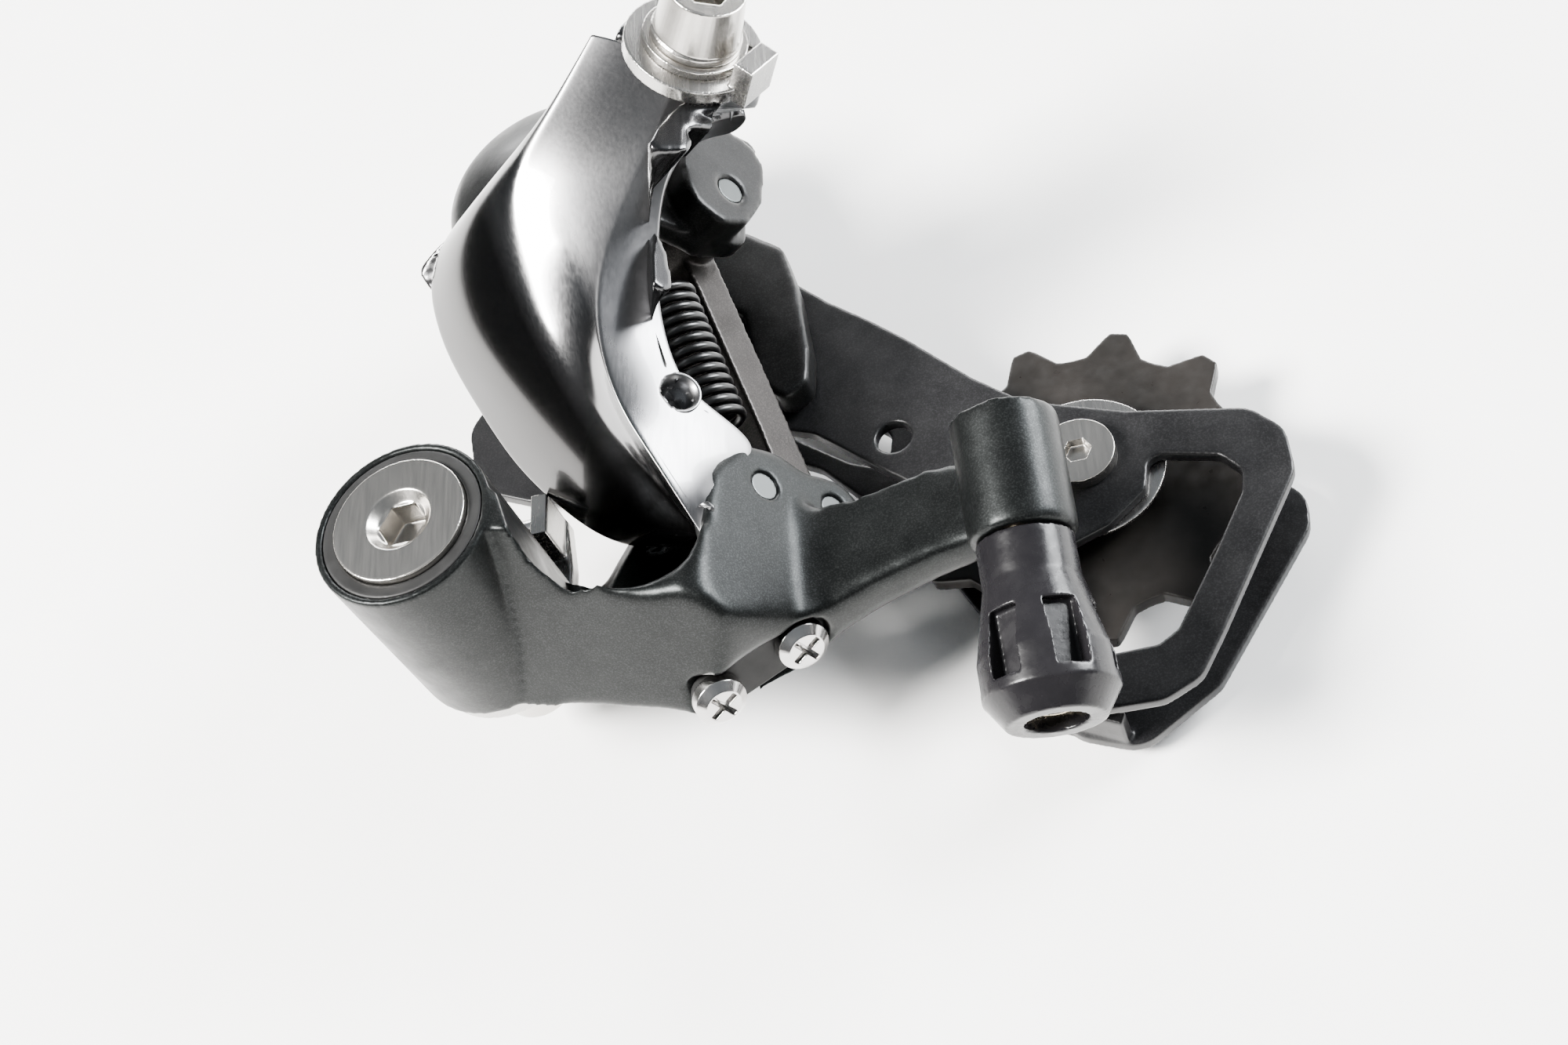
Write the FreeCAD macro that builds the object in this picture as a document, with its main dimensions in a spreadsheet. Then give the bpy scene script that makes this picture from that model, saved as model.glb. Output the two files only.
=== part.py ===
import FreeCAD
import Part

# Rear bicycle derailleur, modelled as separate working pieces in millimetres.
# Origin: B-axle axis at the outboard face of the frame hanger.
# +Z is outboard along the B-axle, +X is down the bicycle, +Y is to the front.
# The four link pins are parallel and lean in the XZ plane, so the linkage is
# drawn in its own frame: u along +Y, v across the pins, w along the pins.

import math
import os

Vector = FreeCAD.Vector

doc = FreeCAD.newDocument("rear_derailleur")
sheet = doc.addObject("Spreadsheet::Sheet", "Sheet")

SIZES = [
    ("head_radius", 8.0), ("head_top", 30.0), ("head_thick", 2.8),
    ("axle_radius", 4.5), ("thread_length", 9.5), ("thread_radius", 5.0),
    ("hex_b_axle", 5.0), ("hex_b_depth", 4.5),
    ("boss_radius", 10.7), ("boss_bottom", 2.7), ("boss_top", 29.4),
    ("bush_radius", 6.4), ("bush_gap", 0.05),
    ("stop_plate_thick", 2.3), ("stop_plate_radius", 9.9),
    ("pin_slant", 36.0), ("link_length", 41.75), ("rest_angle", 24.5),
    ("pin_radius", 1.8), ("pin_clearance", 0.04),
    ("pin_b_u", 6.0), ("pin_b_v", -12.0), ("offset_u", 0.5), ("offset_v", -10.2),
    ("hub_outer_radius", 4.5), ("hub_inner_radius", 4.3),
    ("ear_low_start", 16.5), ("ear_low_end", 20.7),
    ("hub_start", 21.0), ("hub_b_end", 34.0), ("hub_p_end", 36.0),
    ("ear_b_start", 34.3), ("ear_b_end", 38.0),
    ("ear_p_start", 36.3), ("ear_p_mid", 39.6), ("ear_p_end", 44.0),
    ("p_axis_x", 10.5), ("p_axis_y", 63.5), ("housing_radius", 16.0),
    ("housing_bottom", -2.9), ("housing_top", 17.0),
    ("guide_x", 15.0), ("guide_y", 49.0), ("tension_x", 72.5), ("tension_y", 11.0),
    ("outer_plate_bottom", -5.0), ("inner_plate_bottom", -15.4), ("plate_thick", 1.8),
    ("pulley_middle", -9.2), ("tooth_pitch", 12.7), ("tooth_count", 11.0),
    ("tooth_thick", 2.2), ("pulley_hub_radius", 7.2), ("pulley_hub_thick", 6.4),
    ("cap_radius", 10.0), ("cap_thick", 0.6), ("pulley_bore", 4.05),
    ("bush_pulley_radius", 4.0), ("pulley_bolt_radius", 2.5),
    ("pulley_head_radius", 4.5), ("pulley_head_height", 1.9),
    ("barrel_x", 66.5), ("barrel_y", -8.0), ("barrel_z", 13.5), ("barrel_tilt", 12.0),
    ("barrel_boss_radius", 6.1), ("barrel_boss_length", 14.5),
    ("knob_length", 21.0), ("knob_radius", 7.4), ("liner_radius", 2.5), ("liner_flange_radius", 3.4),
    ("housing_bore", 2.1), ("cable_bore", 1.0),
    ("limit_radius", 2.0), ("limit_head_radius", 3.1), ("limit_length", 13.0),
    ("clamp_u", 48.0), ("clamp_v", 9.5), ("clamp_w", 56.5), ("clamp_lean", 24.0),
    ("clamp_washer_radius", 6.2), ("clamp_head_radius", 4.6), ("clamp_head_height", 7.0),
]
for number, (alias, value) in enumerate(SIZES, 1):
    sheet.set("A%d" % number, alias)
    sheet.set("B%d" % number, str(value))
    sheet.setAlias("B%d" % number, alias)
doc.recompute()

finished = []


def size(alias):
    """Read one driving dimension from the sheet."""
    return float(getattr(sheet, alias))


# ---------------------------------------------------------------- frames
SLANT = math.radians(size("pin_slant"))
AXIS = Vector(math.cos(SLANT), 0, math.sin(SLANT))
CROSS = Vector(-math.sin(SLANT), 0, math.cos(SLANT))


def linkage_place(u=0.0, v=0.0, w=0.0, turn=0.0):
    """Placement whose local z runs along the link pins."""
    base = FreeCAD.Matrix()
    base.A11, base.A21, base.A31 = 0.0, 1.0, 0.0
    base.A12, base.A22, base.A32 = CROSS.x, CROSS.y, CROSS.z
    base.A13, base.A23, base.A33 = AXIS.x, AXIS.y, AXIS.z
    frame = FreeCAD.Placement(base)
    local = FreeCAD.Placement(Vector(u, v, w), FreeCAD.Rotation(Vector(0, 0, 1), turn))
    return frame.multiply(local)


def aimed_place(point, direction):
    """Placement that carries local z onto a direction, starting at a point."""
    return FreeCAD.Placement(point, FreeCAD.Rotation(Vector(0, 0, 1), direction))


PIN_OB = (size("pin_b_u"), size("pin_b_v"))
PIN_IB = (PIN_OB[0] + size("offset_u"), PIN_OB[1] + size("offset_v"))
REST = math.radians(size("rest_angle"))
REACH = (size("link_length") * math.cos(REST), size("link_length") * math.sin(REST))
PIN_OP = (PIN_OB[0] + REACH[0], PIN_OB[1] + REACH[1])
PIN_IP = (PIN_IB[0] + REACH[0], PIN_IB[1] + REACH[1])


# ---------------------------------------------------------------- helpers
def cylinder(name, radius, height, place):
    """Part cylinder whose radius and height are sheet expressions or numbers."""
    item = doc.addObject("Part::Cylinder", name)
    for prop, value in (("Radius", radius), ("Height", height)):
        if isinstance(value, str):
            item.setExpression(prop, value)
        else:
            setattr(item, prop, value)
    item.Placement = place
    return item


def cone(name, radius_low, radius_high, height, place):
    """Part cone frustum."""
    item = doc.addObject("Part::Cone", name)
    item.Radius1 = radius_low
    item.Radius2 = radius_high
    item.Height = height
    item.Placement = place
    return item


def domed_drum(name, radius, shoulder, height, place):
    """Drum turned in one piece, its top rounded by a shoulder and a wide cap."""
    lean = math.radians(65.0)
    inset = radius - shoulder
    cap_radius = inset / math.cos(lean) + shoulder
    cap_centre = height - cap_radius
    level = cap_centre + inset * math.tan(lean)
    shoulder_end = Vector(inset + shoulder * math.cos(lean), level + shoulder * math.sin(lean), 0)
    half = lean / 2.0
    shoulder_middle = Vector(inset + shoulder * math.cos(half), level + shoulder * math.sin(half), 0)
    half = (lean + math.pi / 2.0) / 2.0
    cap_middle = Vector(cap_radius * math.cos(half), cap_centre + cap_radius * math.sin(half), 0)
    crown = Vector(0, height, 0)
    sketch = doc.addObject("Sketcher::SketchObject", name + "_sketch")
    sketch.addGeometry(Part.LineSegment(Vector(0, 0, 0), Vector(radius, 0, 0)), False)
    sketch.addGeometry(Part.LineSegment(Vector(radius, 0, 0), Vector(radius, level, 0)), False)
    sketch.addGeometry(Part.Arc(Vector(radius, level, 0), shoulder_middle, shoulder_end), False)
    sketch.addGeometry(Part.Arc(shoulder_end, cap_middle, crown), False)
    sketch.addGeometry(Part.LineSegment(crown, Vector(0, 0, 0)), False)
    upright = FreeCAD.Rotation(Vector(1, 0, 0), 90)
    sketch.Placement = place.multiply(FreeCAD.Placement(Vector(0, 0, 0), upright))
    item = doc.addObject("Part::Revolution", name)
    item.Source = sketch
    item.Axis = place.Rotation.multVec(Vector(0, 0, 1))
    item.Base = place.Base
    item.Angle = 360
    item.Solid = True
    return item


def block(name, low, high):
    """Axis-aligned box between two corners."""
    item = doc.addObject("Part::Box", name)
    item.Length = high[0] - low[0]
    item.Width = high[1] - low[1]
    item.Height = high[2] - low[2]
    item.Placement = FreeCAD.Placement(Vector(*low), FreeCAD.Rotation())
    return item


def hexagon(name, across, height, place):
    """Hexagonal prism given its size across the flats."""
    item = doc.addObject("Part::Prism", name)
    item.Polygon = 6
    item.Circumradius = across / math.sqrt(3.0)
    item.Height = height
    item.Placement = place
    return item


def outline(name, points, depth, place, rounding=0.0):
    """Extruded closed outline, corners rounded when asked."""
    sketch = doc.addObject("Sketcher::SketchObject", name + "_sketch")
    count = len(points)
    corner = []
    for index in range(count):
        here = Vector(points[index][0], points[index][1], 0)
        before = Vector(points[index - 1][0], points[index - 1][1], 0)
        after = Vector(points[(index + 1) % count][0], points[(index + 1) % count][1], 0)
        back = before - here
        forth = after - here
        room = min(back.Length, forth.Length) * 0.45
        half = back.getAngle(forth) / 2.0
        cut = 0.0
        if rounding > 0 and half < 1.5:
            cut = min(rounding / math.tan(half), room)
        corner.append((here, here + back.normalize() * cut, here + forth.normalize() * cut, cut))
    for index in range(count):
        here, start, end, cut = corner[index]
        following = corner[(index + 1) % count]
        if cut > 1e-6:
            middle = arc_middle(here, start, end)
            sketch.addGeometry(Part.Arc(start, middle, end), False)
        sketch.addGeometry(Part.LineSegment(end, following[1]), False)
    sketch.Placement = place
    item = doc.addObject("Part::Extrusion", name)
    item.Base = sketch
    item.DirMode = "Normal"
    item.Solid = True
    item.LengthFwd = depth
    return item


def arc_middle(here, start, end):
    """Middle point of the tangent arc that rounds one corner."""
    chord = (start + end) * 0.5
    away = chord - here
    reach = (start - here).Length
    half = math.asin(min(1.0, (start - end).Length / 2.0 / reach))
    radius = reach * math.tan(half)
    centre_distance = reach / math.cos(half)
    return here + away.normalize() * (centre_distance - radius)


def fuse(name, items):
    """Join several objects into one."""
    item = doc.addObject("Part::MultiFuse", name)
    item.Shapes = items
    item.Refine = True
    return item


def cut(name, base, tool):
    """Take one object away from another."""
    item = doc.addObject("Part::Cut", name)
    item.Base = base
    item.Tool = tool
    item.Refine = True
    return item


def finish(node, item):
    """Give a finished sub-part its node name."""
    item.Label = node
    finished.append((node, item))
    return item


def at(x, y, z):
    """Upright placement at a point."""
    return FreeCAD.Placement(Vector(x, y, z), FreeCAD.Rotation())


# ---------------------------------------------------------------- B-axle group
def make_b_axle():
    """Hollow-headed axle bolt that screws into the hanger."""
    head_low = size("head_top") - size("head_thick")
    head = cylinder("axle_head", "Sheet.head_radius", "Sheet.head_thick", at(0, 0, head_low))
    shank = cylinder("axle_shank", "Sheet.axle_radius", head_low + 0.1, at(0, 0, 0))
    thread = cylinder("axle_thread", "Sheet.thread_radius", "Sheet.thread_length",
                      at(0, 0, -size("thread_length")))
    point = size("thread_radius")
    lead = cone("axle_lead", point - 1.2, point, 1.2, at(0, 0, -size("thread_length") - 1.2))
    body = fuse("axle_body", [head, shank, thread, lead])
    socket = hexagon("axle_socket", size("hex_b_axle"), size("hex_b_depth") + 1,
                     at(0, 0, size("head_top") - size("hex_b_depth")))
    rim = cone("axle_rim", 2.9, 4.1, 1.2, at(0, 0, size("head_top") - 1.1))
    finish("b_axle", cut("axle_done", body, fuse("axle_hollow", [socket, rim])))


def make_stop_plate():
    """Thin stop plate clamped at the hanger with the lug that meets its edge."""
    disc = cylinder("plate_disc", "Sheet.stop_plate_radius", "Sheet.stop_plate_thick", at(0, 0, 0.05))
    points = [(-6.0, 5.0), (9.0, 0.0), (9.4, 8.0), (8.6, 15.6), (6.4, 15.6), (1.0, 9.0)]
    wing = outline("plate_wing", points, size("stop_plate_thick"), at(0, 0, 0.05), 0.8)
    lug = block("plate_lug", (6.4, 9.6, 0.05), (8.5, 15.4, 8.6))
    hole = cylinder("plate_hole", size("thread_radius") + 0.12, 6, at(0, 0, -2))
    finish("stop_plate", cut("plate_done", fuse("plate_body", [disc, wing, lug]), hole))


def make_b_inner_pieces():
    """Bush, seal and spring that live inside the B-knuckle boss."""
    inner = size("axle_radius") + size("bush_gap")
    tube = cylinder("bush_tube", "Sheet.bush_radius", 23.4, at(0, 0, 3.4))
    bore = cylinder("bush_bore", inner, 30, at(0, 0, 0))
    finish("b_bush", cut("bush_done", tube, bore))
    ring = cylinder("seal_ring", 9.7, 1.5, at(0, 0, 27.7))
    ring_bore = cylinder("seal_bore", size("head_radius") + 0.06, 4, at(0, 0, 26.6))
    finish("b_seal", cut("seal_done", ring, ring_bore))


def coil(node, radius, wire, pitch, height, place):
    """Round-wire spring swept along a helix."""
    helix = Part.makeHelix(pitch, height, radius)
    path = Part.Wire(helix.Edges)
    ring = Part.Wire([Part.makeCircle(wire, Vector(radius, 0, 0), Vector(0, 1, pitch / 6.3 / radius))])
    pipe = path.makePipeShell([ring], True, True)
    item = doc.addObject("Part::Feature", node + "_coil")
    item.Shape = pipe
    item.Placement = place
    finish(node, item)


# ---------------------------------------------------------------- B-knuckle
def make_b_knuckle():
    """Casting that carries the hanger boss, two link pins, screws and barrel."""
    boss_height = size("boss_top") - size("boss_bottom")
    boss = cylinder("bk_boss", "Sheet.boss_radius", boss_height, at(0, 0, size("boss_bottom")))
    plan = [(-1.5, -10.6), (12.5, -12.9), (24.0, -16.6), (27.5, -17.2), (43.0, -9.6),
            (48.0, -7.9), (56.0, -6.2), (66.0, -5.6), (66.0, 4.5), (58.5, 5.5), (47.0, 4.0),
            (40.5, 5.0), (34.0, -1.4), (18.0, -1.4), (11.0, 1.5), (6.0, 8.6), (0.0, 5.0)]
    plan_block = outline("bk_plan", plan, 60, at(0, 0, -20), 1.6)
    side = [(-6.0, 2.7), (24.0, 2.7), (36.0, 0.6), (46.0, 2.0), (60.0, 4.2), (66.5, 8.0),
            (66.5, 10.5), (58.0, 9.8), (43.0, 8.4), (39.9, 9.7), (32.2, 20.3), (30.0, 21.3),
            (26.0, 20.4), (22.0, 21.0), (17.5, 24.2), (13.0, 29.0), (-6.0, 29.0)]
    turned = FreeCAD.Placement(Vector(0, 40, 0), FreeCAD.Rotation(Vector(1, 0, 0), 90))
    side_block = outline("bk_side", side, 80, turned, 1.0)
    wall = doc.addObject("Part::Common", "bk_wall")
    wall.Base = plan_block
    wall.Tool = side_block
    lean = cylinder("bk_lean", 60.0, 30.0, aimed_place(Vector(12.0, -12.9, 2.7), Vector(-76.5, -267.0, 92.1)))
    saddle = [(10.0, 14.0), (11.4, 1.0), (13.2, -5.2), (17.0, -8.0), (24.0, -8.8), (30.0, -7.8),
              (33.0, 0.0), (33.0, 14.0)]
    saddle_block = outline("bk_saddle", saddle, 30, at(0, 0, 9.0), 2.0)
    wall = cut("bk_wall_scooped", wall, fuse("bk_scoops", [lean, saddle_block]))
    ear = [(PIN_OB[0] - 16, -19.0), (PIN_OB[0] - 15, -5.5), (0.5, -3.2), (6.8, -4.8),
           (11.4, -9.0), (12.2, -14.0), (10.8, -18.5), (11.2, -24.0), (8.0, -27.6), (2.0, -26.5),
           (-2.5, -24.0), (-4.0, -19.5)]
    ear_high = outline("bk_ear_high", ear, size("ear_b_end") - size("ear_b_start"),
                       linkage_place(w=size("ear_b_start")), 3.0)
    low = [(-9.0, -8.0), (-8.5, 1.5), (5.0, -5.0), (12.0, -8.4), (12.4, -16.0), (12.2, -24.0),
           (8.0, -27.6), (2.0, -27.2), (-1.5, -20.0)]
    ear_low = outline("bk_ear_low", low, size("ear_low_end") - size("ear_low_start"),
                      linkage_place(w=size("ear_low_start")), 2.0)
    web = [(-3.6, -24.5), (-3.6, -10.0), (-1.2, -10.0), (0.3, -17.0), (0.9, -24.5)]
    web_block = outline("bk_web", web, size("ear_b_end") - size("ear_low_start"),
                        linkage_place(w=size("ear_low_start")), 0.8)
    tilt = math.radians(size("barrel_tilt"))
    down = Vector(0, -math.cos(tilt), -math.sin(tilt))
    middle = Vector(size("barrel_x"), size("barrel_y"), size("barrel_z"))
    length = size("barrel_boss_length")
    boss_start = middle - down * (length - 1.5)
    barrel = cylinder("bk_barrel", "Sheet.barrel_boss_radius", length, aimed_place(boss_start, down))
    lump = block("bk_screw_lump", (-6.5, 6.0, 2.7), (-0.5, 14.9, 8.4))
    body = fuse("bk_body", [boss, wall, ear_high, ear_low, web_block, barrel, lump])
    holes = []
    holes.append(cylinder("bk_bush_hole", size("bush_radius") + 0.02, 40, at(0, 0, -4)))
    holes.append(cylinder("bk_seal_hole", 9.75, 8, at(0, 0, 26.9)))
    holes.append(cylinder("bk_spring_room", 9.2, 12.0, at(0, 0, 2.0)))
    for index, (u, v) in enumerate((PIN_OB, PIN_IB)):
        holes.append(cylinder("bk_pin_hole%d" % index, size("pin_radius"), 40,
                              linkage_place(u, v, 10)))
        gap = cylinder("bk_pin_gap%d" % index, 6.6 if index == 0 else 5.2,
                       size("ear_b_start") - size("ear_low_end"),
                       linkage_place(u, v, size("ear_low_end")))
        holes.append(gap)
    holes.append(cylinder("bk_barrel_hole", "Sheet.liner_radius", 11.0,
                          aimed_place(middle + down * (1.6 - 11.0), down)))
    holes.append(cylinder("bk_cable_hole", "Sheet.cable_bore", 30.0,
                          aimed_place(boss_start - down, down)))
    recess = limit_places()
    for index, place in enumerate(recess):
        holes.append(cylinder("bk_limit_hole%d" % index, "Sheet.limit_radius", 40,
                              place.multiply(at(0, 0, -30))))
        holes.append(cylinder("bk_limit_recess%d" % index, 3.7, 8, place.multiply(at(0, 0, -1.2))))
    bridge = outline("bk_recess_bridge", [(-11.4, -3.4), (0.0, -3.4), (0.0, 3.4), (-11.4, 3.4)], 8,
                     recess[0].multiply(at(0, 0, -1.2)))
    holes.append(bridge)
    holes.append(cylinder("bk_tension_hole", 1.5, 20,
                          aimed_place(Vector(-12, 12.4, 5.6), Vector(1, 0, 0))))
    finish("b_knuckle", cut("bk_done", body, fuse("bk_holes", holes)))


def limit_places():
    """Outward frames of the two limit screws, seat faces at local zero."""
    outward = Vector(0.43, -0.87, 0.24)
    upper = Vector(38.3, -10.6, 4.9)
    lower = Vector(28.2, -15.6, 4.9)
    turn = FreeCAD.Rotation(Vector(0.89, 0.455, 0.0), Vector(0, 0, 1), outward, "ZXY")
    return [FreeCAD.Placement(upper, turn), FreeCAD.Placement(lower, turn)]


def make_limit_pieces():
    """Two cross-head limit screws and the plastic plate beneath their heads."""
    for index, place in enumerate(limit_places()):
        node = ("high_limit_screw", "low_limit_screw")[index]
        shank = cylinder(node + "_shank", size("limit_radius") - 0.03, "Sheet.limit_length",
                         place.multiply(at(0, 0, -size("limit_length") + 0.2)))
        head = cylinder(node + "_head", "Sheet.limit_head_radius", 1.5, place.multiply(at(0, 0, 0.15)))
        crown = cone(node + "_crown", size("limit_head_radius"), 2.1, 0.9,
                     place.multiply(at(0, 0, 1.64)))
        body = fuse(node + "_body", [shank, head, crown])
        slots = []
        for number, angle in enumerate((20, 110)):
            spin = FreeCAD.Placement(Vector(0, 0, 1.2), FreeCAD.Rotation(Vector(0, 0, 1), angle))
            slot = doc.addObject("Part::Box", node + "_slot%d" % number)
            slot.Length = 3.8
            slot.Width = 0.7
            slot.Height = 3.0
            slot.Placement = place.multiply(spin).multiply(at(-1.9, -0.35, 0))
            slots.append(slot)
        finish(node, cut(node + "_done", body, fuse(node + "_cross", slots)))
    place = limit_places()[0].multiply(at(0, 0, -1.15))
    pad = outline("limit_pad", [(-13.9, -2.7), (2.6, -2.7), (2.6, 2.7), (-13.9, 2.7)], 1.2, place, 2.6)
    holes = [cylinder("limit_pad_hole%d" % n, size("limit_radius") + 0.1, 6, p.multiply(at(0, 0, -3)))
             for n, p in enumerate(limit_places())]
    finish("limit_plate", cut("limit_pad_done", pad, fuse("limit_pad_holes", holes)))


def make_b_tension_screw():
    """Small screw that sets how far the knuckle sits off the hanger stop."""
    start = Vector(-10.2, 12.4, 5.6)
    head = cylinder("bt_head", 2.4, 2.2, aimed_place(start, Vector(1, 0, 0)))
    shank = cylinder("bt_shank", 1.48, 14.1, aimed_place(start + Vector(2.1, 0, 0), Vector(1, 0, 0)))
    socket = hexagon("bt_socket", 2.0, 3.0, aimed_place(start - Vector(1.4, 0, 0), Vector(1, 0, 0)))
    finish("b_tension_screw", cut("bt_done", fuse("bt_body", [head, shank]), socket))


# ---------------------------------------------------------------- links and pins
def make_pins():
    """Four link pins, pressed into the knuckles and staked at the visible ends."""
    ends = {
        "pin_outer_b": (PIN_OB, size("ear_low_start") + 0.4, size("ear_b_end") - 0.3),
        "pin_inner_b": (PIN_IB, size("ear_low_start") + 0.4, size("ear_b_end") - 0.3),
        "pin_outer_p": (PIN_OP, size("ear_low_start") + 0.4, size("ear_p_mid") - 0.3),
        "pin_inner_p": (PIN_IP, size("ear_low_start") + 0.4, size("ear_p_end") - 0.3),
    }
    for node, (where, low, high) in ends.items():
        finish(node, cylinder(node + "_rod", "Sheet.pin_radius", high - low,
                              linkage_place(where[0], where[1], low)))


def link_outline(name, points, depth, low, rounding):
    """Extrude an outline given along and across the outer link."""
    place = linkage_place(PIN_OB[0], PIN_OB[1], low, size("rest_angle"))
    return outline(name, points, depth, place, rounding)


def return_spring_place():
    """Frame of the return spring, local z along its coils."""
    place = linkage_place(PIN_OB[0], PIN_OB[1], 32.5, size("rest_angle"))
    tip = FreeCAD.Rotation(Vector(0.07, 1, 0), 92)
    return place.multiply(FreeCAD.Placement(Vector(10.5, -1.7, 0), tip))


def make_outer_link():
    """Arched outer link with its wide shell and the cable arm."""
    reach = size("link_length")
    spine = [(-2.2, -3.9), (2.2, -3.9), (8.5, 0.6), (14.0, 3.8), (22.0, 4.8), (31.0, 3.0),
             (36.5, 0.0), (reach, -4.0), (reach + 4.4, 0.0), (48.0, 8.4), (43.5, 12.3), (35.0, 14.2),
             (25.0, 14.8), (15.0, 13.6), (6.0, 10.0), (-1.5, 5.0), (-4.4, 0.5)]
    middle = link_outline("ol_spine", spine, size("hub_b_end") - size("hub_start"),
                          size("hub_start"), 1.6)
    shell = [(7.0, 7.5), (14.0, 7.2), (34.0, 7.2), (47.0, 7.2), (51.5, 9.6), (50.0, 11.4),
             (43.5, 13.2), (35.0, 14.6), (25.0, 14.8), (15.0, 13.6), (9.0, 11.3)]
    wide_block = link_outline("ol_shell", shell, 13.5, 8.0, 1.0)
    edge = [(0.0, 22.5), (8.0, 20.5), (14.5, 16.0), (21.0, 11.5), (29.0, 8.8), (38.0, 8.0),
            (52.0, 8.0), (53.0, 14.0), (50.5, 22.5)]
    edge_block = outline("ol_edge", edge, 40.0, linkage_place(PIN_OB[0], PIN_OB[1], 0.0,
                         size("rest_angle")).multiply(FreeCAD.Placement(
                             Vector(0, 30, 0), FreeCAD.Rotation(Vector(1, 0, 0), 90))), 1.5)
    wide = doc.addObject("Part::Common", "ol_wide")
    wide.Base = wide_block
    wide.Tool = edge_block
    flare = [(9.5, -2.4), (14.0, 3.8), (22.0, 4.8), (31.0, 3.0), (36.5, 6.9), (48.0, 7.3),
             (48.5, 9.0), (43.5, 12.3), (35.0, 14.0), (25.0, 13.2), (15.0, 9.0), (10.0, 4.0)]
    face = link_outline("ol_face", flare, 4.2, size("hub_b_end") - 0.2, 1.0)
    hub_b = cylinder("ol_hub_b", "Sheet.hub_outer_radius", size("hub_b_end") - size("hub_start"),
                     linkage_place(PIN_OB[0], PIN_OB[1], size("hub_start")))
    hub_p = cylinder("ol_hub_p", "Sheet.hub_outer_radius", size("hub_p_end") - size("hub_start"),
                     linkage_place(PIN_OP[0], PIN_OP[1], size("hub_start")))
    ramp = [(22.0, 8.0), (28.0, 6.2), (36.0, 7.2), (47.0, 7.4), (51.5, 7.0), (48.5, 11.0),
            (40.0, 13.2), (24.0, 13.4)]
    ramp_block = link_outline("ol_ramp", ramp, 6.5, 37.9, 1.5)
    arm = [(33.0, 7.6), (47.0, 7.4), (52.5, 6.8), (49.8, 10.8), (44.0, 13.0), (34.0, 12.8)]
    arm_block = link_outline("ol_arm", arm, 12.0, 44.0, 2.0)
    neck = [(36.5, 0.5), (48.5, -4.5), (54.0, 4.0), (50.5, 12.0), (43.0, 13.5), (36.5, 12.0)]
    neck_block = link_outline("ol_neck", neck, 6.0, 50.5, 2.5)
    seat_place = clamp_place()
    seat = cylinder("ol_seat", 9.0, 4.0, seat_place.multiply(at(0, 0, -4.0)))
    trim = cylinder("ol_trim", 20.0, 12.0, seat_place.multiply(at(0, 0, 0.0)))
    body = cut("ol_trimmed", fuse("ol_body", [middle, wide, face, hub_b, hub_p, ramp_block,
                                              arm_block, neck_block, seat]), trim)
    holes = [cylinder("ol_hole_b", size("pin_radius") + size("pin_clearance"), 60,
                      linkage_place(PIN_OB[0], PIN_OB[1], 0)),
             cylinder("ol_hole_p", size("pin_radius") + size("pin_clearance"), 60,
                      linkage_place(PIN_OP[0], PIN_OP[1], 0)),
             cylinder("ol_ear_room", 6.6, 14, linkage_place(PIN_OP[0], PIN_OP[1], 36.02)),
             cylinder("ol_clamp_hole", 2.5, 12, seat_place.multiply(at(0, 0, -9.0)))]
    holes.append(cylinder("ol_spring_room", 4.75, 22.5, return_spring_place().multiply(at(0, 0, -1.5))))
    blind_place = linkage_place(PIN_OB[0], PIN_OB[1], size("hub_b_end") + 1.6, size("rest_angle"))
    holes.append(cylinder("ol_blind", 2.3, 6, blind_place.multiply(at(13.0, 6.6, 0))))
    finish("outer_link", cut("ol_done", body, fuse("ol_holes", holes)))


def clamp_place():
    """Frame of the cable clamp, local z out of the clamp face."""
    lean = math.radians(size("clamp_lean"))
    point = linkage_place(size("clamp_u"), size("clamp_v"), size("clamp_w")).Base
    direction = AXIS * math.cos(lean) + CROSS * math.sin(lean)
    return aimed_place(point, direction)


def make_cable_clamp():
    """Grooved clamp plate, washer and bolt that hold the shift cable."""
    place = clamp_place()
    plate = cylinder("cc_plate", 8.2, 1.8, place.multiply(at(0, 0, 0.02)))
    hook = doc.addObject("Part::Box", "cc_hook")
    hook.Length = 2.6
    hook.Width = 5.4
    hook.Height = 5.2
    turn = FreeCAD.Placement(Vector(0, 0, 0.02), FreeCAD.Rotation(Vector(0, 0, 1), -38))
    hook.Placement = place.multiply(turn).multiply(at(6.9, -2.7, 0))
    groove = doc.addObject("Part::Box", "cc_groove")
    groove.Length = 20
    groove.Width = 1.6
    groove.Height = 0.9
    groove.Placement = place.multiply(turn).multiply(at(-10, 3.2, 1.0))
    bore = cylinder("cc_bore", 2.6, 8, place.multiply(at(0, 0, -2)))
    finish("clamp_plate", cut("cc_plate_done", fuse("cc_body", [plate, hook]),
                              fuse("cc_cuts", [groove, bore])))
    ring = cylinder("cw_ring", "Sheet.clamp_washer_radius", 1.1, place.multiply(at(0, 0, 1.84)))
    ring_bore = cylinder("cw_bore", 2.6, 8, place.multiply(at(0, 0, -2)))
    finish("clamp_washer", cut("cw_done", ring, ring_bore))
    flange = cylinder("cb_flange", 5.4, 1.0, place.multiply(at(0, 0, 2.96)))
    head = cone("cb_head", 5.2, size("clamp_head_radius"), size("clamp_head_height") - 1.0,
                place.multiply(at(0, 0, 3.95)))
    shank = cylinder("cb_shank", 2.48, 10, place.multiply(at(0, 0, -6.5)))
    socket = hexagon("cb_socket", 5.0, 6, place.multiply(at(0, 0, 6.4)))
    finish("clamp_bolt", cut("cb_done", fuse("cb_body", [flange, head, shank]), socket))


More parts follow.
